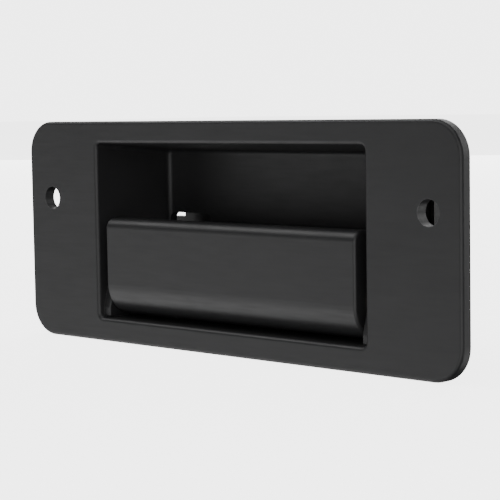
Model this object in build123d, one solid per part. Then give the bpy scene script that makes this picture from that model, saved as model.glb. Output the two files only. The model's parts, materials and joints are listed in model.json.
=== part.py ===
from build123d import *
from math import atan2, cos, pi, radians, sin, tan
import os

os.makedirs("parts", exist_ok=True)

# Flush-mounted pull handle: a moulded housing with a finger pocket, a hinged paddle, and behind
# them a steel lever and bell crank that pull a latch rod. Millimetres.
# The pieces are drawn with X to the right, Y from the flange's front face back into the panel, and
# Z up from the flange's middle. They are saved with the origin midway between the two panel screw
# holes, on the face of the flange that meets the panel.

# Housing, one moulding
side_rim = 33.2
end_rim = 7.15
plate_thickness = 3.6
plate_corner = 10.0
plate_edge_round = 1.0
screw_inset = 11.1
screw_hole = 7.4
screw_rise = 10.2
opening_height = 55.7
opening_rise = 0.25
opening_corner = 1.6
lip_round = 1.2
pocket_depth = 31.0
pocket_wall = 2.5
pocket_fillet = 1.5
side_draft = 1.2
ceiling_fall = 3.0
floor_rise = 1.0
rib_thickness = 2.0
rib_reach = 14.0
rib_below_top = 6.1
rib_above_bottom = 1.6
groove_inset = 1.3
groove_width = 2.2
groove_depth = 1.6
seal_clearance = 0.05

# Hinge: a headed steel pin through the housing's ears and the paddle's nylon bushes
pivot_depth = 10.5
pin_radius = 2.0
pin_head_radius = 3.6
pin_head = 1.4
pin_tail = 1.9
pin_boss_radius = 6.5
pin_boss_proud = 0.8
running_clearance = 0.05
hole_clearance = 0.15
paddle_travel = 32.0
ear_gap = 0.8
ear_width = 2.9
ear_front = 2.0
ear_tail = 8.5
ear_radius = 6.2
ear_round = 0.6
ear_toe_round = 1.0

# Paddle, a hollow moulding that is open at the back
paddle_length = 104.0
paddle_rise = 20.9
floor_gap = 0.8
face_setback = 0.2
skin = 2.5
lip_depth = 7.0
lip_height = 5.4
lip_front_round = 3.2
lip_back_round = 1.6
lip_under_round = 0.8
belly_run = 2.0
cheek_radius = 6.0
cheek_round = 0.9
paddle_rib_inset = 19.0
bush_wall = 1.6
bush_flange = 0.6
bush_flange_radius = 5.2

# Lever: a folded steel channel on the pin, screwed to the paddle
lever_inset = 9.5
lever_width = 11.0
lever_sheet = 1.5
lever_overlap = 0.66
lever_tip_radius = 2.4
web_clearance = 0.3
foot_clearance = 0.8
lever_screw_gap = 5.4
lever_screw_radius = 1.35
lever_screw_head = 2.5
lever_screw_head_height = 1.8
lever_boss_radius = 3.0
lever_boss_height = 2.5

# Slot in the pocket's back wall, and the rubber channel on its lower edge
slot_reach = (11.7, 7.0)
slot_headroom = 2.25
slot_corner = 2.0
bumper_top = 1.9
bumper_leg = 1.2
bumper_drop = 3.0
bumper_margin = 1.2
contact_gap = 0.1

# Rear bracket: bent steel sheet on four bosses behind the pocket
boss_height = 3.0
boss_radius = 4.0
bracket_sheet = 1.0
bracket_reach_left = 14.0
bracket_reach_up = 20.0
bracket_reach_down = 25.0
bracket_corner = 3.0
bracket_bend = 1.6
bracket_neck_inset = 4.0
bracket_ear_gap = 1.15
bracket_ear_reach = 11.6
bracket_ear_low = -8.0
bracket_ear_high = 18.0
bracket_screw_low = -17.0
bracket_screw_high = 15.0
bracket_screw_left = 8.0
bracket_screw_middle = 12.0
bracket_screw_inset = 7.7
bracket_screw_radius = 1.6
bracket_screw_head = 3.2
bracket_screw_head_height = 2.0
bracket_screw_depth = 4.6
stop_tab_reach = (9.0, 1.0)
stop_gap = 0.8

# Bell crank on a stepped stud, with its bush, washer, spring and clips
crank_rise = 18.5
crank_arm = 36.5
crank_ratio = 0.94
crank_sheet = 2.4
crank_hub_radius = 9.0
crank_pad_reach = (12.9, 2.5)
crank_pad_low = -5.0
crank_pad_high = 6.0
crank_pad_corner = 1.5
crank_toe_reach = (19.5, -7.5)
crank_toe_low = -6.0
crank_toe_high = 0.7
crank_nose_shift = 2.0
crank_nose_radius = 3.0
crank_nose_gap = 0.2
stud_radius = 4.0
stud_tail_radius = 2.5
stud_head_radius = 4.0
stud_head = 1.2
stud_groove_radius = 3.2
stud_end = 1.0
washer_radius = 8.0
washer_thickness = 0.9
play = 0.1
crank_bush_wall = 1.0
cap_thickness = 0.8
cap_radius = 7.2
clip_thickness = 0.6

# Rod clip in the crank's short arm
rod_arm = 26.0
rod_arm_radius = 5.5
rod_barrel_radius = 3.5
rod_hole_radius = 2.55
rod_block = (9.0, 6.4, 10.0)
rod_block_round = 1.2
rod_head_radius = 4.4

# Springs
wire_radius = 0.6
wire_hole_radius = 0.9
paddle_coil_radius = 3.6
paddle_coil_turns = 5
crank_coil_radius = 5.6
crank_coil_turns = 2
coil_pitch = 1.35
spring_bend = 1.3
paddle_hook_rise = 7.5
crank_hook_reach = 16.0
crank_hook_rise = 17.0

# Places that follow from the sizes above
to_row = Pos(0, -plate_thickness, -screw_rise)
opening_top = opening_rise + opening_height / 2
opening_bottom = opening_rise - opening_height / 2
half_paddle = paddle_length / 2
ear_inner = half_paddle + ear_gap
half_opening = ear_inner + ear_width
plate_width = 2 * (half_opening + side_rim)
plate_height = opening_height + 2 * end_rim
screw_x = plate_width / 2 - screw_inset
rib_heights = (opening_top - rib_below_top, opening_bottom + rib_above_bottom)
back_wall = pocket_depth + pocket_wall
boss_face = half_opening + pocket_wall + pin_boss_proud
belly_radius = pivot_depth - face_setback
belly_bottom = opening_bottom + floor_gap
pivot_height = belly_bottom + belly_radius
lip_top = pivot_height + paddle_rise
skin_inner = face_setback + skin
web_top = pivot_height + pin_radius + web_clearance + lever_sheet
lever_rise = web_top - pivot_height
lever_x = lever_inset - half_paddle
lever_left = lever_x - lever_width / 2
lever_right = lever_x + lever_width / 2
foot_front = skin_inner + lever_boss_height
foot_back = foot_front + lever_sheet
foot_top = lip_top - lip_height - foot_clearance
foot_middle = (web_top + foot_top) / 2
lever_screw_heights = (foot_middle - lever_screw_gap / 2, foot_middle + lever_screw_gap / 2)
bracket_front = back_wall + boss_height
bracket_back = bracket_front + bracket_sheet
crank_front = bracket_back + washer_thickness + play
crank_back = crank_front + crank_sheet
swing = radians(paddle_travel)
lever_reach = (crank_back + lever_overlap - pivot_depth + lever_rise * sin(swing)) / cos(swing)
lever_tip = pivot_depth + lever_reach
lever_taper = 2 * atan2(lever_rise - lever_tip_radius, lever_reach - lever_tip_radius)
bumper_reach = pocket_depth - bumper_leg - pivot_depth
lever_under = bumper_reach * tan(lever_taper) - lever_rise / cos(lever_taper)
slot_left = lever_x - slot_reach[0]
slot_right = lever_x + slot_reach[1]
slot_bottom = pivot_height + lever_under - contact_gap - bumper_top
slot_top = pivot_height + (back_wall - pivot_depth) * tan(swing) + lever_rise / cos(swing) + slot_headroom
crank_nose_x = lever_x - crank_nose_shift
crank_x = crank_nose_x + crank_arm
crank_z = pivot_height + crank_rise
rod_x = crank_x + rod_arm
stop_tab = (rod_x - stop_tab_reach[0], rod_x + stop_tab_reach[1])
stop_top = crank_z - rod_arm * sin(swing * crank_ratio) - rod_arm_radius - stop_gap
crank_pad = ((lever_x - crank_pad_reach[0], lever_x + crank_pad_reach[1]),
             (crank_z + crank_pad_low, crank_z + crank_pad_high))
crank_toe = ((lever_x - crank_toe_reach[0], lever_x + crank_toe_reach[1]),
             (crank_z + crank_toe_low, crank_z + crank_toe_high))
bracket_screw_right = half_opening - bracket_screw_inset
bracket_screw_places = (
    (crank_x - bracket_screw_left, crank_z + bracket_screw_low),
    (bracket_screw_right, crank_z + bracket_screw_low),
    (bracket_screw_right, crank_z + bracket_screw_high),
    (crank_x + bracket_screw_middle, crank_z + bracket_screw_high),
)
crank_nose_z = web_top + crank_nose_gap + crank_nose_radius
crank_bush_radius = stud_radius + running_clearance + crank_bush_wall
crank_coil_lean = coil_pitch / (2 * pi * crank_coil_radius)
crank_coil_start = crank_back + wire_radius + crank_hook_reach * crank_coil_lean + play
crank_coil_end = crank_coil_start + (crank_coil_turns + 0.75) * coil_pitch
cap_front = crank_coil_end + wire_radius + crank_hook_rise * crank_coil_lean + play
clip_front = cap_front + cap_thickness + play
stud_tip = clip_front + clip_thickness + play + stud_end
rib_left = paddle_rib_inset - half_paddle
paddle_ribs = (rib_left, 0.0, -rib_left)
paddle_coil_lean = coil_pitch / (2 * pi * paddle_coil_radius)
paddle_coil_start = rib_left + rib_thickness / 2 + wire_radius + paddle_hook_rise * paddle_coil_lean + play
paddle_coil_end = paddle_coil_start + (paddle_coil_turns + 0.25) * coil_pitch
paddle_hook_z = pivot_height + paddle_hook_rise


def block(x, y, z):
    """Box between the low and high values given for each axis."""
    middle = Pos((x[0] + x[1]) / 2, (y[0] + y[1]) / 2, (z[0] + z[1]) / 2)
    return middle * Box(x[1] - x[0], y[1] - y[0], z[1] - z[0])


def bar_x(x, y, z, radius):
    """Round bar along X, between two X values, about the line at y and z."""
    return Pos((x[0] + x[1]) / 2, y, z) * Rot(0, 90, 0) * Cylinder(radius, x[1] - x[0])


def bar_y(x, y, z, radius):
    """Round bar along Y, between two Y values, about the line at x and z."""
    return Pos(x, (y[0] + y[1]) / 2, z) * Rot(90, 0, 0) * Cylinder(radius, y[1] - y[0])


def across(y):
    """Sketch plane across the handle at depth y: local x is right and local y is up."""
    return Plane(origin=(0, y, 0), x_dir=(1, 0, 0), z_dir=(0, -1, 0))


def along(x):
    """Sketch plane at width x: local x is depth and local y is up."""
    return Plane(origin=(x, 0, 0), x_dir=(0, 1, 0), z_dir=(1, 0, 0))


def area(x, y, corner=0.0):
    """Flat rectangle between the low and high values given, with rounded corners if asked."""
    middle = Pos((x[0] + x[1]) / 2, (y[0] + y[1]) / 2)
    if corner:
        return middle * RectangleRounded(x[1] - x[0], y[1] - y[0], corner)
    return middle * Rectangle(x[1] - x[0], y[1] - y[0])


def plate(sketch, front, back):
    """Sheet of the sketch's outline between two depths."""
    return extrude(across(back) * sketch, back - front)


def hull(*sketches):
    """Flat outline stretched round the sketches."""
    return make_hull([edge for sketch in sketches for edge in sketch.edges()])


def pocket_section(y, grow):
    """The pocket's outline at depth y, grown by a wall."""
    share = y / pocket_depth
    half = half_opening - side_draft * share + grow
    top = opening_top - ceiling_fall * share + grow
    bottom = opening_bottom + floor_rise * share - grow
    return across(y) * area((-half, half), (bottom, top), opening_corner + grow)


def pocket_form(front, back, grow):
    """Tapered block of the pocket's outline between two depths."""
    return loft([pocket_section(front, grow), pocket_section(back, grow)])


def flange():
    """Flat plate with rounded corners and a rounded front edge."""
    outline = RectangleRounded(plate_width, plate_height, plate_corner)
    body = plate(outline, 0, plate_thickness)
    return fillet(body.faces().sort_by(Axis.Y)[0].edges(), plate_edge_round)


def pivot_ear(side):
    """Pad inside a side wall that carries the pin, with its rounded foot on the pocket's floor."""
    foot = area((ear_front, pivot_depth + ear_tail), (opening_bottom, opening_bottom + 4.0), ear_toe_round)
    around_pin = Pos(pivot_depth, pivot_height) * Circle(ear_radius)
    pad = extrude(along(ear_inner) * hull(foot, around_pin), half_opening + pocket_wall / 2 - ear_inner)
    pad = fillet(pad.faces().sort_by(Axis.X)[0].edges(), ear_round)
    return pad if side > 0 else mirror(pad, about=Plane.YZ)


def side_rib(side, height):
    """Triangular rib between the flange's back and the pocket's side wall."""
    wall = half_opening + pocket_wall / 2
    tip = half_opening + pocket_wall + rib_reach
    low = height - rib_thickness / 2
    corners = ((wall, plate_thickness / 2), (tip, plate_thickness / 2),
               (tip, plate_thickness + 0.5), (wall, plate_thickness + rib_reach))
    outline = Polyline(*corners, close=True)
    rib = extrude(Plane.XY.offset(low) * make_face(outline), rib_thickness)
    return rib if side > 0 else mirror(rib, about=Plane.YZ)


def pin_boss(side):
    """Boss outside a side wall round the pin's hole, drawn out straight from the flange."""
    foot = area((plate_thickness / 2, pivot_depth),
                (pivot_height - pin_boss_radius, pivot_height + pin_boss_radius))
    outline = hull(foot, Pos(pivot_depth, pivot_height) * Circle(pin_boss_radius))
    inner, outer = sorted((side * half_opening, side * boss_face))
    return extrude(along(inner) * outline, outer - inner)


def housing():
    """Flange, pocket, ears, ribs and bosses in one moulding."""
    body = flange() + pocket_form(plate_thickness / 2, back_wall, pocket_wall)
    for side in (-1, 1):
        body += pin_boss(side)
        for height in rib_heights:
            body += side_rib(side, height)
    for x, z in bracket_screw_places:
        body += bar_y(x, (back_wall - 1, bracket_front), z, boss_radius)
    hollow = pocket_form(-1, pocket_depth, 0)
    body -= fillet(hollow.faces().sort_by(Axis.Y)[-1].edges(), pocket_fillet)
    rim = body.faces().sort_by(Axis.Y)[0].inner_wires()[0].edges()
    body = fillet(rim, lip_round)
    body += pivot_ear(1) + pivot_ear(-1)
    body -= bar_x((-boss_face - 1, boss_face + 1), pivot_depth, pivot_height, pin_radius + running_clearance)
    for side in (-1, 1):
        body -= bar_y(side * screw_x, (-1, plate_thickness + 1), screw_rise, screw_hole / 2)
    slot = area((slot_left, slot_right), (slot_bottom, slot_top), slot_corner)
    body -= plate(slot, pocket_depth - pocket_fillet - 1, back_wall + 1)
    for x, z in bracket_screw_places:
        depth = bracket_back - bracket_screw_depth - 2 * play
        body -= bar_y(x, (depth, bracket_front + 1), z, bracket_screw_radius + hole_clearance / 2)
    leg_x = paddle_coil_end + paddle_coil_lean * (pocket_depth + pocket_wall / 2 - pivot_depth)
    leg_z = pivot_height - paddle_coil_radius
    body -= bar_y(leg_x, (pocket_depth - 1, back_wall + 1), leg_z, wire_hole_radius)
    return body - seal_groove()


def seal_frame(inset, width, depth):
    """Rectangular ring behind the flange, set in from its edge."""
    outer = RectangleRounded(plate_width - 2 * inset, plate_height - 2 * inset, plate_corner - inset)
    far = inset + width
    inner = RectangleRounded(plate_width - 2 * far, plate_height - 2 * far, plate_corner - far)
    return plate(outer - inner, plate_thickness - groove_depth, plate_thickness - groove_depth + depth)


def seal_groove():
    """Groove that holds the seal, open at the flange's back."""
    return seal_frame(groove_inset, groove_width, groove_depth + 1)


def seal_ring():
    """Rubber seal in the groove, just below the flange's back face."""
    inset = groove_inset + seal_clearance
    return seal_frame(inset, groove_width - 2 * seal_clearance, groove_depth - seal_clearance)


def paddle_skin():
    """Section of the paddle: belly round the hinge, flat front, and a lip for the fingers."""
    end = pivot_depth + belly_run
    points = [
        (end, belly_bottom),
        (face_setback, belly_bottom),
        (face_setback, lip_top),
        (lip_depth, lip_top),
        (lip_depth, lip_top - lip_height),
        (skin_inner, lip_top - lip_height),
        (skin_inner, belly_bottom + skin),
        (end, belly_bottom + skin),
    ]
    rounds = [belly_radius, lip_front_round, lip_back_round, lip_under_round,
              lip_under_round, belly_radius - skin]
    outline = FilletPolyline(*points, radius=rounds)
    return make_face(outline + Line(points[-1], points[0]))


def paddle_cheek():
    """Outline of an end wall or rib: the skin's section filled back to a boss round the pin."""
    around_pin = Pos(pivot_depth, pivot_height) * Circle(cheek_radius)
    return hull(paddle_skin(), around_pin)


def paddle():
    """Skin with end walls, inner ribs and the lever's screw bosses."""
    body = extrude(along(-half_paddle) * paddle_skin(), paddle_length)
    for x in (-half_paddle, half_paddle - skin):
        body += extrude(along(x) * paddle_cheek(), skin)
    ends = [body.faces().sort_by(Axis.X)[place].edges() for place in (0, -1)]
    body = fillet(ends[0] + ends[1], cheek_round)
    for x in paddle_ribs:
        body += extrude(along(x - rib_thickness / 2) * paddle_cheek(), rib_thickness)
    for z in lever_screw_heights:
        body += bar_y(lever_x, (skin_inner - 1, foot_front), z, lever_boss_radius)
    for z in lever_screw_heights:
        pilot = lever_screw_radius + hole_clearance / 3
        body -= bar_y(lever_x, (face_setback + 1.2, foot_front + 1), z, pilot)
    span = half_paddle + 1
    body -= bar_x((-span, span), pivot_depth, pivot_height, pin_radius + running_clearance + bush_wall)
    hook = (rib_left - rib_thickness, rib_left + rib_thickness)
    return body - bar_x(hook, pivot_depth - paddle_coil_radius, paddle_hook_z, wire_hole_radius)


def paddle_bush(side):
    """Flanged nylon bush in an end wall, with its flange between paddle and ear."""
    outer = (side * (half_paddle - skin), side * (half_paddle + bush_flange))
    flange_x = (side * half_paddle, side * (half_paddle + bush_flange))
    body = bar_x(sorted(outer), pivot_depth, pivot_height, pin_radius + running_clearance + bush_wall)
    body += bar_x(sorted(flange_x), pivot_depth, pivot_height, bush_flange_radius)
    bore = (side * (half_paddle - skin - 1), side * (half_paddle + bush_flange + 1))
    return body - bar_x(sorted(bore), pivot_depth, pivot_height, pin_radius + running_clearance)


def pivot_pin():
    """Steel pin with a head on the left and a clip groove on the right."""
    tail = boss_face + play + clip_thickness + play + pin_tail
    body = bar_x((-boss_face, tail), pivot_depth, pivot_height, pin_radius)
    head = bar_x((-boss_face - pin_head, -boss_face), pivot_depth, pivot_height, pin_head_radius)
    body += fillet(head.faces().sort_by(Axis.X)[0].edges(), pin_head / 2)
    body = chamfer(body.faces().sort_by(Axis.X)[-1].edges(), 0.4)
    groove_x = (boss_face + play / 2, boss_face + 1.5 * play + clip_thickness)
    ring = bar_x(groove_x, pivot_depth, pivot_height, pin_radius + 1)
    ring -= bar_x(groove_x, pivot_depth, pivot_height, pin_radius * 0.75)
    return body - ring


def clip_outline(groove, outer):
    """E-clip outline: an open ring that bears on the groove with three prongs."""
    ring = Circle(outer) - Circle(outer * 0.72)
    for turn in (0, 120, 240):
        prong = area((groove + running_clearance, outer * 0.85), (-0.3 * groove, 0.3 * groove))
        ring += Rot(0, 0, turn) * prong
    mouth = area((-outer - 1, 0), (-0.62 * groove, 0.62 * groove))
    return ring - mouth - Circle(groove + running_clearance)


def pin_clip():
    """Spring-steel E-clip in the pin's groove."""
    outline = clip_outline(pin_radius * 0.75, pin_radius * 2.1)
    front = boss_face + play
    return Pos(front, pivot_depth, pivot_height) * Rot(0, 90, 0) * extrude(outline, clip_thickness)


def coil_spring(plane, radius, turns, start_leg, end_leg):
    """Torsion spring wound about the plane's Z, with two legs that each end in a bent hook.

    A leg is (straight length, hook length along the plane's Z).
    """
    height = turns * coil_pitch
    wire = Circle(wire_radius)
    helix = Helix(coil_pitch, height, radius)
    coil = sweep(Plane(origin=helix @ 0, z_dir=helix % 0) * wire, path=helix)
    legs = []
    for place, sign, leg in ((0, -1, start_leg), (1, 1, end_leg)):
        begin = helix @ place
        heading = (helix % place) * sign
        corner = begin + heading * leg[0]
        if leg[1]:
            route = FilletPolyline(begin, corner, corner + Vector(0, 0, leg[1]), radius=spring_bend)
        else:
            route = Line(begin, corner)
        legs.append(sweep(Plane(origin=begin, z_dir=heading) * wire, path=route))
    return plane * (coil + legs[0] + legs[1])


def paddle_spring():
    """Closes the paddle: one end hooks into a rib, the other sits in the pocket's back wall."""
    plane = Plane(origin=(paddle_coil_start, pivot_depth, pivot_height), x_dir=(0, -1, 0), z_dir=(1, 0, 0))
    reach = back_wall - 0.5 - pivot_depth
    hook = rib_left - rib_thickness - paddle_coil_start
    start_leg = (paddle_hook_rise, hook)
    return coil_spring(plane, paddle_coil_radius, paddle_coil_turns + 0.25, start_leg, (reach, 0))


def crank_spring():
    """Returns the bell crank: one end hooks into its long arm, the other into the bracket."""
    plane = Plane(origin=(crank_x, crank_coil_start, crank_z), x_dir=(0, 0, 1), z_dir=(0, 1, 0))
    start_leg = (crank_hook_reach, crank_front - crank_coil_start)
    end_leg = (crank_hook_rise, bracket_front - crank_coil_end)
    return coil_spring(plane, crank_coil_radius, crank_coil_turns + 0.75, start_leg, end_leg)


def lever_arm():
    """Folded channel: two cheeks on the pin, a web on top, and a foot against the paddle."""
    tip = Pos(lever_tip - lever_tip_radius, web_top - lever_tip_radius) * Circle(lever_tip_radius)
    cheek = hull(Pos(pivot_depth, pivot_height) * Circle(lever_rise), tip)
    body = extrude(along(lever_left) * cheek, lever_sheet)
    body += extrude(along(lever_right - lever_sheet) * cheek, lever_sheet)
    sides = (lever_left, lever_right)
    body += block(sides, (foot_front, lever_tip - lever_tip_radius), (web_top - lever_sheet, web_top))
    body += block(sides, (foot_front, foot_back), (web_top - lever_sheet, foot_top))
    body -= bar_x((lever_left - 1, lever_right + 1), pivot_depth, pivot_height, pin_radius + hole_clearance)
    for z in lever_screw_heights:
        body -= bar_y(lever_x, (foot_front - 1, foot_back + 1), z, lever_screw_radius + hole_clearance)
    return body


def screw(x, z, seat, depth, radius, head_radius, head_height):
    """Pan-head screw driven forward into a boss, with a cross recess in its head."""
    body = bar_y(x, (seat - depth, seat + 0.2), z, radius)
    head = bar_y(x, (seat, seat + head_height), z, head_radius)
    body += fillet(head.faces().sort_by(Axis.Y)[-1].edges(), head_height * 0.55)
    recess = area((-0.55 * head_radius, 0.55 * head_radius), (-0.14 * head_radius, 0.14 * head_radius))
    recess += Rot(0, 0, 90) * recess
    top = seat + head_height
    return body - plate(Pos(x, z) * recess, top - 0.6 * head_height, top + 1)


def lever_screws():
    """Two screws that hold the lever's foot to the paddle."""
    depth = foot_back - face_setback - 1.5
    return [screw(lever_x, z, foot_back, depth, lever_screw_radius, lever_screw_head,
                  lever_screw_head_height) for z in lever_screw_heights]


def rest_bumper():
    """Rubber channel pushed over the slot's lower edge, where the lever rests."""
    x = (slot_left + slot_corner + bumper_margin, slot_right - slot_corner - 0.5)
    y = (pocket_depth - bumper_leg, back_wall + bumper_leg)
    body = block(x, y, (slot_bottom - bumper_drop, slot_bottom + bumper_top))
    wall_z = (slot_bottom - bumper_drop - 1, slot_bottom)
    body -= block((x[0] - 1, x[1] + 1), (pocket_depth, back_wall), wall_z)
    return fillet(body.edges().filter_by(Axis.X).group_by(Axis.Z)[-1], 0.6)


def rear_bracket():
    """Bent sheet: a back plate with the stud's hole and a stop tab, and an ear round the side."""
    ear_inner_x = half_opening + pocket_wall - side_draft + bracket_ear_gap + bracket_sheet / 2
    ear_outer_x = ear_inner_x + bracket_sheet
    left = crank_x - bracket_reach_left
    bottom = crank_z - bracket_reach_down
    top = crank_z + bracket_reach_up
    outline = area((left, ear_outer_x), (bottom, top), bracket_corner)
    outline -= area(stop_tab, (bottom - 1, stop_top - bracket_sheet))
    ear_height = (crank_z + bracket_ear_low, crank_z + bracket_ear_high)
    neck = half_opening - bracket_neck_inset
    outline -= area((neck, ear_outer_x + 1), (bottom - 1, ear_height[0]))
    outline -= area((neck, ear_outer_x + 1), (ear_height[1], top + 1))
    body = plate(outline, bracket_front, bracket_back)
    body += block((ear_inner_x, ear_outer_x), (bracket_back - bracket_ear_reach, bracket_back), ear_height)
    bend = body.edges().filter_by(Axis.Z).group_by(Axis.X)[-1].sort_by(Axis.Y)[-1]
    body = fillet(bend, bracket_bend)
    body += block(stop_tab, (bracket_front, crank_back + play), (stop_top - bracket_sheet, stop_top))
    for x, z in bracket_screw_places:
        body -= bar_y(x, (bracket_front - 1, bracket_back + 1), z, bracket_screw_radius + hole_clearance)
    body -= bar_y(crank_x, (bracket_front - 1, bracket_back + 1), crank_z, stud_tail_radius + play / 2)
    hook_x = crank_x - crank_coil_radius
    hook_z = crank_z + crank_hook_rise
    return body - bar_y(hook_x, (bracket_front - 1, bracket_back + 1), hook_z, wire_hole_radius)


def bracket_screws():
    """Four screws into the housing's bosses."""
    return [screw(x, z, bracket_back, bracket_screw_depth, bracket_screw_radius, bracket_screw_head,
                  bracket_screw_head_height) for x, z in bracket_screw_places]


def crank_stud():
    """Stepped steel stud, riveted into the bracket, with a clip groove near its end."""
    body = bar_y(crank_x, (bracket_back, stud_tip), crank_z, stud_radius)
    body = chamfer(body.faces().sort_by(Axis.Y)[-1].edges(), 0.5)
    body += bar_y(crank_x, (bracket_front - stud_head, bracket_back + 0.5), crank_z, stud_tail_radius)
    head = bar_y(crank_x, (bracket_front - stud_head, bracket_front), crank_z, stud_head_radius)
    body += fillet(head.faces().sort_by(Axis.Y)[0].edges(), stud_head * 0.6)
    groove = (clip_front - play / 2, clip_front + clip_thickness + play / 2)
    ring = bar_y(crank_x, groove, crank_z, stud_radius + 1)
    return body - (ring - bar_y(crank_x, groove, crank_z, stud_groove_radius))


def washer(front, thickness, radius):
    """Flat washer on the stud."""
    body = bar_y(crank_x, (front, front + thickness), crank_z, radius)
    return body - bar_y(crank_x, (front - 1, front + thickness + 1), crank_z, stud_radius + play)


def crank_bush():
    """Plain nylon bush pressed into the crank."""
    body = bar_y(crank_x, (crank_front, crank_back), crank_z, crank_bush_radius)
    return body - bar_y(crank_x, (crank_front - 1, crank_back + 1), crank_z, stud_radius + running_clearance)


def bell_crank():
    """Steel plate: a long arm with a nose on the lever's web, and a short arm for the rod clip."""
    hub = Pos(crank_x, crank_z) * Circle(crank_hub_radius)
    pad = area(*crank_pad, crank_pad_corner)
    root = area((crank_nose_x - 7.0, crank_pad[0][1]), (crank_pad[1][0], crank_pad[1][0] + 3.0))
    nose = Pos(crank_nose_x, crank_nose_z) * Circle(crank_nose_radius)
    rod_end = Pos(rod_x, crank_z) * Circle(rod_arm_radius)
    neck = Pos(crank_x, crank_z) * Circle(crank_hub_radius - 1)
    outline = hull(hub, pad) + hull(root, nose) + hull(neck, rod_end)
    outline += area(*crank_toe, crank_pad_corner)
    body = plate(outline, crank_front, crank_back)
    body -= bar_y(crank_x, (crank_front - 1, crank_back + 1), crank_z, crank_bush_radius)
    body -= bar_y(rod_x, (crank_front - 1, crank_back + 1), crank_z, rod_barrel_radius + running_clearance)
    hook_x = crank_x - crank_hook_reach
    hook_z = crank_z + crank_coil_radius
    return body - bar_y(hook_x, (crank_front - 1, crank_back + 1), hook_z, wire_hole_radius)


def crank_clip():
    """E-clip in the stud's groove."""
    outline = Pos(crank_x, crank_z) * clip_outline(stud_groove_radius, stud_radius * 1.75)
    return plate(outline, clip_front, clip_front + clip_thickness)


def rod_clip():
    """Nylon clip: a barrel that snaps into the crank, and a block with the rod's hole."""
    front = bracket_back + 3 * play
    block_front = crank_back + 4 * play
    width, depth, height = rod_block
    rod_y = block_front + depth / 2
    body = block((rod_x - width / 2, rod_x + width / 2), (block_front, block_front + depth),
                 (crank_z - height / 2, crank_z + height / 2))
    body = fillet(body.edges().filter_by(Axis.Y), rod_block_round)
    body += bar_y(rod_x, (front, block_front + 1), crank_z, rod_barrel_radius)
    body += bar_y(rod_x, (front, crank_front - play), crank_z, rod_head_radius)
    bore = Pos(rod_x, rod_y, crank_z) * Cylinder(rod_hole_radius, height + 2)
    cut_z = (crank_z - rod_head_radius - 1, crank_z + rod_head_radius + 1)
    split_slot = block((rod_x - 0.5, rod_x + 0.5), (front - 1, block_front - 0.6), cut_z)
    return body - bore - split_slot


def save(name, shape):
    """Write one node, moved so that the origin is between the panel screw holes."""
    solids = shape if isinstance(shape, list) else [shape]
    moved = [to_row * solid for piece in solids for solid in piece.solids()]
    export_step(moved[0] if len(moved) == 1 else Compound(moved), f"parts/{name}.step")


save("housing", housing())
save("seal_ring", seal_ring())
save("paddle", paddle())
save("paddle_bush_left", paddle_bush(-1))
save("paddle_bush_right", paddle_bush(1))
save("pivot_pin", pivot_pin())
save("pin_clip", pin_clip())
save("paddle_spring", paddle_spring())
save("lever_arm", lever_arm())
save("lever_screws", lever_screws())
save("rest_bumper", rest_bumper())
save("rear_bracket", rear_bracket())
save("bracket_screws", bracket_screws())
save("crank_stud", crank_stud())
save("stud_washer", washer(bracket_back + play / 2, washer_thickness, washer_radius))
save("bell_crank", bell_crank())
save("crank_bush", crank_bush())
save("crank_spring", crank_spring())
save("spring_cap", washer(cap_front, cap_thickness, cap_radius))
save("crank_clip", crank_clip())
save("rod_clip", rod_clip())
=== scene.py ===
import json
import math

import bpy
from mathutils import Matrix, Vector


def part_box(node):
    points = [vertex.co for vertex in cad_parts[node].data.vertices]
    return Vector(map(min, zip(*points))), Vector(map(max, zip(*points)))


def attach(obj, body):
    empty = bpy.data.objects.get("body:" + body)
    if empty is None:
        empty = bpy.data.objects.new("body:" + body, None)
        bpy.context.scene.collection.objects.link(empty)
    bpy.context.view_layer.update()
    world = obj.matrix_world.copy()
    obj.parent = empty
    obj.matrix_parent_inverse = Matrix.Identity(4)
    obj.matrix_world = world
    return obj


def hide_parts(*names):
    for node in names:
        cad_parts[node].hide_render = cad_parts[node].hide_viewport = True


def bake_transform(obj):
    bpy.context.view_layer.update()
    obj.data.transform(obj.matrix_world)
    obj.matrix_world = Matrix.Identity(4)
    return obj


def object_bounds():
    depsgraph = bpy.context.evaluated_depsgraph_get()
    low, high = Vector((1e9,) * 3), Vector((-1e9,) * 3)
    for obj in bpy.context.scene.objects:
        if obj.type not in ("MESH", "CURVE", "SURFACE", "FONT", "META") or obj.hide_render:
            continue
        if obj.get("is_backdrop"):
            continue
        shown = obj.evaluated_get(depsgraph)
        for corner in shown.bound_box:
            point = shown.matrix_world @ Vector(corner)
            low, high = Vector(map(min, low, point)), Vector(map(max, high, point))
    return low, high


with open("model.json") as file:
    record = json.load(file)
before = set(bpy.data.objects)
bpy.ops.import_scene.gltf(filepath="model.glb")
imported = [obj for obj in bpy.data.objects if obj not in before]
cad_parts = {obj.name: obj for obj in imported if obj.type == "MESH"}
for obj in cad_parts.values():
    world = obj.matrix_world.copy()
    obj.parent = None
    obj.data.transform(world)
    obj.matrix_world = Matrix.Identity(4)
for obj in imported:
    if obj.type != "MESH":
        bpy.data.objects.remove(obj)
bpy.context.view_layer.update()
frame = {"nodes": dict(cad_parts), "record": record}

# 1. Housing
# The flange, finger pocket, pin ears, ribs and screw bosses are one injection moulding. It is black
# glass-filled nylon from a spark-eroded tool, and two screws or rivets hold it to the panel.
mm = 0.001


def linear(code):
    """sRGB hex colour as the linear red, green, blue and alpha that a shader takes."""
    parts = [int(code[place:place + 2], 16) / 255 for place in (1, 3, 5)]
    return [p / 12.92 if p <= 0.04045 else ((p + 0.055) / 1.055) ** 2.4 for p in parts] + [1.0]


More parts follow.
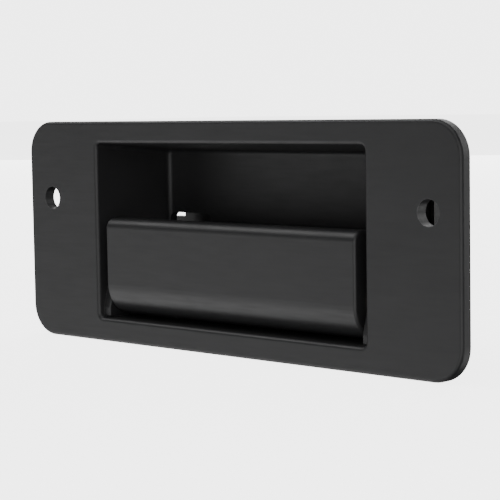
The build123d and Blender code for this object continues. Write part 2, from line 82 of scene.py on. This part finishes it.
def add(material, kind, settings=None, links=None):
    """Adds one shader node, sets its properties or unlinked sockets, and links outputs into it."""
    node = material.node_tree.nodes.new("ShaderNode" + kind)
    for name, value in (settings or {}).items():
        if isinstance(name, int) or name in node.inputs:
            node.inputs[name].default_value = value
        else:
            setattr(node, name, value)
    for name, output in (links or {}).items():
        material.node_tree.links.new(output, node.inputs[name])
    return node


def empty_material(name):
    """A material with no nodes yet."""
    material = bpy.data.materials.new(name)
    material.use_nodes = True
    material.node_tree.nodes.clear()
    return material


def edge_wear_and_highlight(material, width):
    """Mask that is 1 on edges and falls to 0 within a width of them, broken up by small knocks."""
    softened = add(material, "Bevel", {"samples": 6, "Radius": width})
    surface = add(material, "NewGeometry")
    facing = add(material, "VectorMath", {"operation": "DOT_PRODUCT"},
                 {0: softened.outputs[0], 1: surface.outputs["Normal"]})
    edge = add(material, "MapRange", {1: 1.0, 2: 0.88, 3: 0.0, 4: 1.0}, {0: facing.outputs["Value"]})
    knock_size = 1.6 * mm
    place = add(material, "TexCoord")
    knocks = add(material, "TexNoise", {"Scale": 1 / knock_size, "Detail": 3.0},
                 {"Vector": place.outputs["Object"]})
    patchy = add(material, "MapRange", {1: 0.32, 2: 0.62, 3: 0.25, 4: 1.0}, {0: knocks.outputs["Fac"]})
    mask = add(material, "Math", {"operation": "MULTIPLY"}, {0: edge.outputs[0], 1: patchy.outputs[0]})
    return mask.outputs[0]


def blended(material, share, low, high):
    """Colour between two sRGB codes by a share from 0 to 1."""
    mix = add(material, "Mix", {"data_type": "RGBA"})
    mix.inputs[6].default_value = linear(low)
    mix.inputs[7].default_value = linear(high)
    material.node_tree.links.new(share, mix.inputs[0])
    return mix.outputs[2]


def moulded_nylon(name, dark, light, rubbed_edge_and_highlight, smooth, rough, grain_height):
    """Black glass-filled nylon as it comes from the tool: a satin charcoal with a very fine even
    grain, faint clouding where the melt flowed, fibre streaks in the gloss, and edges paler, partly
    rubbed and partly a painted highlight."""
    material = empty_material(name)
    place = add(material, "TexCoord").outputs["Object"]
    cloud_size = 16.0 * mm
    clouds = add(material, "TexNoise", {"Scale": 1 / cloud_size, "Detail": 4.0, "Roughness": 0.6},
                 {"Vector": place})
    streak_length, streak_width = 9.0 * mm, 0.8 * mm
    along = add(material, "Mapping", {"vector_type": "POINT"}, {"Vector": place})
    along.inputs["Scale"].default_value = (1 / streak_length, 1 / streak_width, 1 / streak_width)
    streaks = add(material, "TexNoise", {"Scale": 1.0, "Detail": 2.0}, {"Vector": along.outputs[0]})
    body = blended(material, clouds.outputs["Fac"], dark, light)
    # Paler colour along the edges: partly rubbed wear, partly a painted highlight for the light that the
    # rounded edges catch.
    edge = edge_wear_and_highlight(material, 0.5 * mm)
    colour = add(material, "Mix", {"data_type": "RGBA"}, {0: edge, 6: body})
    colour.inputs[7].default_value = linear(rubbed_edge_and_highlight)
    # The real grain is about 0.1 mm. It is drawn at 0.45 mm so that it shows at all.
    grain_size = 0.45 * mm
    grain = add(material, "TexNoise", {"Scale": 1 / grain_size, "Detail": 2.0}, {"Vector": place})
    gloss = add(material, "MapRange", {1: 0.3, 2: 0.7, 3: smooth, 4: rough}, {0: streaks.outputs["Fac"]})
    polished = add(material, "MapRange", {1: 0.0, 2: 1.0, 3: 0.0, 4: -0.07}, {0: edge})
    roughness = add(material, "Math", {"operation": "ADD"}, {0: gloss.outputs[0], 1: polished.outputs[0]})
    bump = add(material, "Bump", {"Strength": 0.6, "Distance": grain_height},
               {"Height": grain.outputs["Fac"]})
    shader = add(material, "BsdfPrincipled", {"IOR": 1.53},
                 {"Base Color": colour.outputs[2], "Roughness": roughness.outputs[0],
                  "Normal": bump.outputs[0]})
    add(material, "OutputMaterial", links={"Surface": shader.outputs["BSDF"]})
    return material


def dress(node_name, material):
    """Gives a CAD node its material in every slot."""
    mesh = frame["nodes"][node_name].data
    mesh.materials.clear()
    mesh.materials.append(material)


# The third colour is the paler edge colour: partly rubbed wear, partly a painted highlight.
dress("housing", moulded_nylon("nylon_gf30_spark_eroded", "#242425", "#2b2b2c", "#454546",
                               0.42, 0.5, 0.012 * mm))

# 2. Seal ring
# An EPDM rubber cord pressed into the groove behind the flange, where it seals against the panel.


def moulded_rubber(name, dark, light):
    """Black EPDM: almost no gloss, a dusty bloom in patches, and a slight skin from the mould."""
    material = empty_material(name)
    place = add(material, "TexCoord").outputs["Object"]
    bloom_size, skin_size = 5.0 * mm, 0.4 * mm
    bloom = add(material, "TexNoise", {"Scale": 1 / bloom_size, "Detail": 5.0}, {"Vector": place})
    skin = add(material, "TexNoise", {"Scale": 1 / skin_size, "Detail": 2.0}, {"Vector": place})
    roughness = add(material, "MapRange", {1: 0.3, 2: 0.7, 3: 0.66, 4: 0.84}, {0: bloom.outputs["Fac"]})
    bump = add(material, "Bump", {"Strength": 0.5, "Distance": 0.02 * mm}, {"Height": skin.outputs["Fac"]})
    shader = add(material, "BsdfPrincipled", {"IOR": 1.5},
                 {"Base Color": blended(material, bloom.outputs["Fac"], dark, light),
                  "Roughness": roughness.outputs[0], "Normal": bump.outputs[0]})
    add(material, "OutputMaterial", links={"Surface": shader.outputs["BSDF"]})
    return material


epdm = moulded_rubber("epdm_moulded", "#141415", "#1f1f1f")
dress("seal_ring", epdm)

# 3. Pivot pin and its clip
# A ground steel pin with a formed head passes through the ears and the paddle. A spring-steel
# E-clip in its groove keeps it there.


def worked_metal(name, dark, light, edge_colour, smooth, rough, line_spacing, line_axis, line_height):
    """Metal with fine tool lines about one axis: bright, with soft streaked highlights, small
    patches of tarnish and cleaner metal along its edges."""
    material = empty_material(name)
    place = add(material, "TexCoord").outputs["Object"]
    tarnish_size = 3.0 * mm
    tarnish = add(material, "TexNoise", {"Scale": 1 / tarnish_size, "Detail": 5.0, "Roughness": 0.65},
                  {"Vector": place})
    long = 6.0 * mm
    lines_map = add(material, "Mapping", links={"Vector": place})
    lines_map.inputs["Scale"].default_value = [1 / line_spacing if axis == line_axis else 1 / long
                                               for axis in range(3)]
    lines = add(material, "TexNoise", {"Scale": 1.0, "Detail": 3.0}, {"Vector": lines_map.outputs[0]})
    body = blended(material, tarnish.outputs["Fac"], dark, light)
    edge = edge_wear_and_highlight(material, 0.2 * mm)
    colour = add(material, "Mix", {"data_type": "RGBA"}, {0: edge, 6: body})
    colour.inputs[7].default_value = linear(edge_colour)
    roughness = add(material, "MapRange", {1: 0.3, 2: 0.7, 3: smooth, 4: rough}, {0: tarnish.outputs["Fac"]})
    bump = add(material, "Bump", {"Strength": 0.5, "Distance": line_height}, {"Height": lines.outputs["Fac"]})
    shader = add(material, "BsdfPrincipled", {"Metallic": 1.0},
                 {"Base Color": colour.outputs[2], "Roughness": roughness.outputs[0],
                  "Normal": bump.outputs[0]})
    add(material, "OutputMaterial", links={"Surface": shader.outputs["BSDF"]})
    return material


ground_steel = worked_metal("steel_ground", "#8d8b87", "#b5b3ae", "#cfcdc9", 0.2, 0.34,
                            0.25 * mm, 0, 0.006 * mm)
spring_steel = worked_metal("spring_steel_drawn_oiled", "#4b4844", "#77736d", "#98948d", 0.26, 0.42,
                            0.3 * mm, 1, 0.006 * mm)
dress("pivot_pin", ground_steel)
dress("pin_clip", spring_steel)

# 4. Paddle and its bushes
# The paddle is a second moulding in the same nylon from a smoother tool, open at the back and ribbed.
# Two flanged bushes in natural nylon are pressed into its end walls and turn on the pin.
# The third colour is the paler edge colour: partly rubbed wear, partly a painted highlight.
dress("paddle", moulded_nylon("nylon_gf30_satin_tool", "#242425", "#2b2b2c", "#464647",
                              0.38, 0.46, 0.007 * mm))


def turned_nylon(name, dark, light):
    """Natural nylon: waxy off-white that lets a little light in, with faint turning lines."""
    material = empty_material(name)
    place = add(material, "TexCoord").outputs["Object"]
    wax_size, line_spacing = 2.5 * mm, 0.3 * mm
    wax = add(material, "TexNoise", {"Scale": 1 / wax_size, "Detail": 3.0}, {"Vector": place})
    lines = add(material, "TexNoise", {"Scale": 1 / line_spacing, "Detail": 1.0}, {"Vector": place})
    roughness = add(material, "MapRange", {1: 0.3, 2: 0.7, 3: 0.38, 4: 0.52}, {0: wax.outputs["Fac"]})
    bump = add(material, "Bump", {"Strength": 0.4, "Distance": 0.01 * mm}, {"Height": lines.outputs["Fac"]})
    shader = add(material, "BsdfPrincipled",
                 {"IOR": 1.53, "Subsurface Weight": 0.2, "Subsurface Scale": 0.6 * mm},
                 {"Base Color": blended(material, wax.outputs["Fac"], dark, light),
                  "Roughness": roughness.outputs[0], "Normal": bump.outputs[0]})
    add(material, "OutputMaterial", links={"Surface": shader.outputs["BSDF"]})
    return material


natural_nylon = turned_nylon("nylon_natural_turned", "#c9c1ab", "#ddd6c4")
for bush in ("paddle_bush_left", "paddle_bush_right"):
    dress(bush, natural_nylon)

# 5. Lever arm and its screws
# A folded sheet-steel channel hangs on the pin and is screwed to the paddle. It is dipped in black
# epoxy electrocoat after pressing, and its screws are bright zinc-plated.


def electrocoat(name, dark, light, bare):
    """Black cathodic epoxy on pressed steel: a thin semi-gloss film with a slight orange peel, and
    bare steel showing in a fine line where the film pulls thin over sheared edges."""
    material = empty_material(name)
    place = add(material, "TexCoord").outputs["Object"]
    peel_size, scuff_size = 1.1 * mm, 4.0 * mm
    peel = add(material, "TexNoise", {"Scale": 1 / peel_size, "Detail": 2.0}, {"Vector": place})
    scuffs = add(material, "TexNoise", {"Scale": 1 / scuff_size, "Detail": 6.0, "Roughness": 0.7},
                 {"Vector": place})
    edge = edge_wear_and_highlight(material, 0.22 * mm)
    body = blended(material, scuffs.outputs["Fac"], dark, light)
    colour = add(material, "Mix", {"data_type": "RGBA"}, {0: edge, 6: body})
    colour.inputs[7].default_value = linear(bare)
    roughness = add(material, "MapRange", {1: 0.3, 2: 0.7, 3: 0.28, 4: 0.44}, {0: scuffs.outputs["Fac"]})
    bump = add(material, "Bump", {"Strength": 0.5, "Distance": 0.015 * mm}, {"Height": peel.outputs["Fac"]})
    shader = add(material, "BsdfPrincipled", {"IOR": 1.55},
                 {"Base Color": colour.outputs[2], "Metallic": edge, "Roughness": roughness.outputs[0],
                  "Normal": bump.outputs[0]})
    add(material, "OutputMaterial", links={"Surface": shader.outputs["BSDF"]})
    return material


black_electrocoat = electrocoat("steel_pressed_electrocoated", "#161617", "#202021", "#8f8d89")
bright_zinc = worked_metal("steel_zinc_plated", "#9a9da1", "#c2c5c8", "#d9dadb", 0.24, 0.4,
                           0.35 * mm, 2, 0.006 * mm)
dress("lever_arm", black_electrocoat)
dress("lever_screws", bright_zinc)

# 6. Paddle spring
# A torsion spring round the pin, wound from 1.2 mm oiled steel wire. One leg is hooked into a paddle
# rib and the other rests in the pocket's back wall, so it winds up as the paddle is pulled.
wire_radius = 0.6 * mm
coil_pitch = 1.35 * mm
steps_per_turn = 40


def joint_place(name):
    """Where a joint's axis is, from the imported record."""
    for joint in frame["record"]["behaviour"]["joints"]:
        if joint["name"] == name:
            return Vector(joint["pos_m"])
    raise ValueError(name)


def coil(centre, across, up, along, radius, turns):
    """Points of a helix that starts on the across side and turns towards up as it goes along."""
    count = round(turns * steps_per_turn)
    points = []
    for step in range(count + 1):
        turn = 2 * math.pi * turns * step / count
        rise = coil_pitch * turn / (2 * math.pi)
        points.append(centre + (across * math.cos(turn) + up * math.sin(turn)) * radius + along * rise)
    return points


def bent_leg(begin, heading, length, hook):
    """Points of a straight leg with a rounded bend into its hook, from its free end to the coil."""
    bend = 1.3 * mm
    corner = begin + heading.normalized() * length
    before = corner - heading.normalized() * bend
    after = corner + hook.normalized() * bend
    arc = []
    for step in range(9):
        share = step / 8
        arc.append(before.lerp(corner, share).lerp(corner.lerp(after, share), share))
    straight = [begin.lerp(before, step / 8) for step in range(1, 8)]
    tail = [after.lerp(corner + hook, step / 6) for step in range(1, 7)]
    return list(reversed(straight + arc + tail))


def round_wire(name, points, radius, material):
    """Smooth round wire along the points, as a mesh with closed ends."""
    data = bpy.data.curves.new(name, "CURVE")
    data.dimensions = "3D"
    data.bevel_depth = radius
    data.bevel_resolution = 5
    data.use_fill_caps = True
    spline = data.splines.new("POLY")
    spline.points.add(len(points) - 1)
    for point, place in zip(spline.points, points):
        point.co = (*place, 1.0)
    drawn = bpy.data.objects.new(name, data)
    bpy.context.scene.collection.objects.link(drawn)
    bpy.context.view_layer.update()
    mesh = bpy.data.meshes.new_from_object(drawn)
    bpy.data.objects.remove(drawn)
    mesh.name = name
    mesh.materials.clear()
    mesh.materials.append(material)
    mesh.polygons.foreach_set("use_smooth", [True] * len(mesh.polygons))
    wire = bpy.data.objects.new(name, mesh)
    bpy.context.scene.collection.objects.link(wire)
    return wire


right, deep, high = Vector((1, 0, 0)), Vector((0, 1, 0)), Vector((0, 0, 1))
pin_line = joint_place("paddle_hinge")
paddle_coil_radius = 3.6 * mm
paddle_coil_turns = 5.25
spring_low, spring_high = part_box("paddle_spring")
paddle_lean = coil_pitch / (2 * math.pi * paddle_coil_radius)
hook_rise = 7.5 * mm
# The coil ends at the back leg, whose lean takes it a little further to the right.
back_reach = spring_high.y - pin_line.y
coil_right = spring_high.x - wire_radius - paddle_lean * back_reach
coil_left = coil_right - paddle_coil_turns * coil_pitch
centre = Vector((coil_left, pin_line.y, pin_line.z))
turns = coil(centre, -deep, -high, right, paddle_coil_radius, paddle_coil_turns)
hook_length = coil_left - paddle_lean * hook_rise - spring_low.x
hook_leg = bent_leg(turns[0], high - right * paddle_lean, hook_rise, -right * hook_length)
back_leg = [turns[-1] + (deep + right * paddle_lean) * back_reach * step / 12 for step in range(1, 13)]
paddle_spring = round_wire("paddle_spring_wire", hook_leg + turns + back_leg, wire_radius, spring_steel)
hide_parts("paddle_spring")
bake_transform(paddle_spring)

# 7. Rest bumper
# A short EPDM channel pushed over the slot's lower edge, where the lever comes to rest.
dress("rest_bumper", epdm)

# 8. Rear bracket and its screws
# Bent sheet steel on four bosses behind the pocket, electrocoated like the lever. Four zinc-plated
# screws hold it, and its ear wraps round the pocket's right side.
dress("rear_bracket", black_electrocoat)
dress("bracket_screws", bright_zinc)

# 9. Stud, washer and bell crank
# A stepped stud riveted into the bracket carries the electrocoated bell crank on a nylon bush. A
# washer, a spring cap and an E-clip keep the stack together.
for turned in ("crank_stud", "stud_washer", "spring_cap"):
    dress(turned, bright_zinc)
dress("bell_crank", black_electrocoat)
dress("crank_bush", natural_nylon)
dress("crank_clip", spring_steel)

# 10. Crank spring
# A second torsion spring on the stud, from the same wire. Its coil and first leg are one wire, and
# its last leg, hooked in the bracket, is a second wire that stays with the housing.
stud_line = joint_place("crank_hinge")
crank_coil_radius = 5.6 * mm
crank_coil_turns = 2.75
crank_low, crank_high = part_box("bell_crank")
crank_lean = coil_pitch / (2 * math.pi * crank_coil_radius)
crank_hook_reach = 16.0 * mm
crank_hook_rise = 17.0 * mm
play = 0.1 * mm
coil_front = crank_high.y + wire_radius + crank_hook_reach * crank_lean + play
coil_back = coil_front + crank_coil_turns * coil_pitch
centre = Vector((stud_line.x, coil_front, stud_line.z))
turns = coil(centre, high, right, deep, crank_coil_radius, crank_coil_turns)
crank_hook = deep * (crank_low.y - coil_front)
crank_leg = bent_leg(turns[0], -right - deep * crank_lean, crank_hook_reach, crank_hook)
crank_spring = round_wire("crank_spring_coil", crank_leg + turns, wire_radius, spring_steel)
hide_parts("crank_spring")
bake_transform(crank_spring)
# The tail ends just inside its hole in the bracket, behind the crank and its washer.
crank_to_hole = 1.0 * mm + play
tail_hook = deep * (crank_low.y - crank_to_hole - coil_back)
tail = bent_leg(turns[-1], high + deep * crank_lean, crank_hook_rise, tail_hook)
crank_spring_tail = round_wire("crank_spring_tail", tail + [turns[-1]], wire_radius, spring_steel)
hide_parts("crank_spring")
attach(crank_spring_tail, "housing")

# 11. Rod clip
# A black nylon clip snaps into the crank's short arm and grips the latch rod.
# The third colour is the paler edge colour: partly rubbed wear, partly a painted highlight.
dress("rod_clip", moulded_nylon("nylon_black_clip", "#191919", "#222222", "#3d3d3d", 0.36, 0.48, 0.008 * mm))

# Stage
# A pale matt floor runs back to a white background, which is close to it in tone.
floor_reach = 8.0
lowest = min(corner[2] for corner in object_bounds())
corners = [(-floor_reach, -floor_reach, lowest), (floor_reach, -floor_reach, lowest),
           (floor_reach, floor_reach, lowest), (-floor_reach, floor_reach, lowest)]
floor_mesh = bpy.data.meshes.new("floor")
floor_mesh.from_pydata(corners, [], [(0, 1, 2, 3)])
floor = bpy.data.objects.new("floor", floor_mesh)
bpy.context.scene.collection.objects.link(floor)
pale_floor = empty_material("pale_matt_floor")
floor_shader = add(pale_floor, "BsdfPrincipled",
                   {"Base Color": linear("#f4f4f4"), "Roughness": 0.9, "Emission Color": linear("#ffffff"),
                    "Emission Strength": 3.8})
add(pale_floor, "OutputMaterial", links={"Surface": floor_shader.outputs["BSDF"]})
floor_mesh.materials.append(pale_floor)
floor.visible_diffuse = False
floor.visible_glossy = False
floor.visible_shadow = False
floor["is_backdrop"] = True

world = bpy.data.worlds.new("white_background")
bpy.context.scene.world = world
world.use_nodes = True
world.node_tree.nodes["Background"].inputs[0].default_value = (1, 1, 1, 1)
world.node_tree.nodes["Background"].inputs[1].default_value = 4.3
world.cycles_visibility.diffuse = False
world.cycles_visibility.glossy = False

# Lights
# Large soft boxes. The flange mirrors the one at the front left, the rounded edges mirror the ones
# low on the left, below, above and at the right, and the rest fill the pocket and the back.


def soft_box(name, place, target, width, height, brightness):
    """Rectangular diffuser at a place, facing a target, with its brightness as radiance."""
    data = bpy.data.lights.new(name, "AREA")
    data.shape = "RECTANGLE"
    data.size = width
    data.size_y = height
    data.energy = brightness * math.pi * width * height
    box = bpy.data.objects.new(name, data)
    box.location = place
    box.rotation_euler = (Vector(target) - Vector(place)).to_track_quat("-Z", "Y").to_euler()
    box.visible_camera = False
    bpy.context.scene.collection.objects.link(box)


middle = (0.0, 0.015, 0.0)
soft_box("front_left", (-1.3, -1.25, -0.4), middle, 1.4, 1.2, 1.05)
soft_box("left_low", (-1.05, -0.75, -0.85), middle, 0.9, 0.7, 1.3)
soft_box("front_low", (0.3, -1.4, -0.9), middle, 1.7, 1.3, 0.7)
soft_box("below", (-0.8, 0.1, -0.85), middle, 1.1, 1.0, 1.2)
soft_box("right_back", (1.25, 1.25, -0.95), middle, 1.5, 1.2, 1.55)
soft_box("upper_left", (-1.1, -0.3, 1.1), middle, 1.3, 0.7, 2.3)
soft_box("above", (0.0, -0.4, 1.2), middle, 1.6, 1.2, 1.1)
soft_box("back_left", (-0.9, 1.4, 0.6), middle, 1.8, 1.4, 2.6)
soft_box("back_right", (0.7, 1.5, 0.5), middle, 1.6, 1.2, 1.8)
soft_box("front_right", (1.15, -1.3, 0.05), middle, 2.4, 1.9, 1.25)


# Camera
# A long lens, a little above the handle's middle and well round to its right.
lens = 122.5
eye = Vector((0.35647, -0.35726, 0.02897))
gaze = Vector((-0.6952, 0.7138, -0.0845)).normalized()
above = Vector((-0.0473, 0.0718, 0.9963))
camera_data = bpy.data.cameras.new("camera")
camera_data.lens = lens
camera_data.sensor_width = 36.0
camera_data.clip_start = 0.01
camera = bpy.data.objects.new("camera", camera_data)
side = gaze.cross(above).normalized()
upright = side.cross(gaze)
camera.matrix_world = Matrix.Translation(eye) @ Matrix((side, upright, -gaze)).transposed().to_4x4()
bpy.context.scene.collection.objects.link(camera)
bpy.context.scene.camera = camera
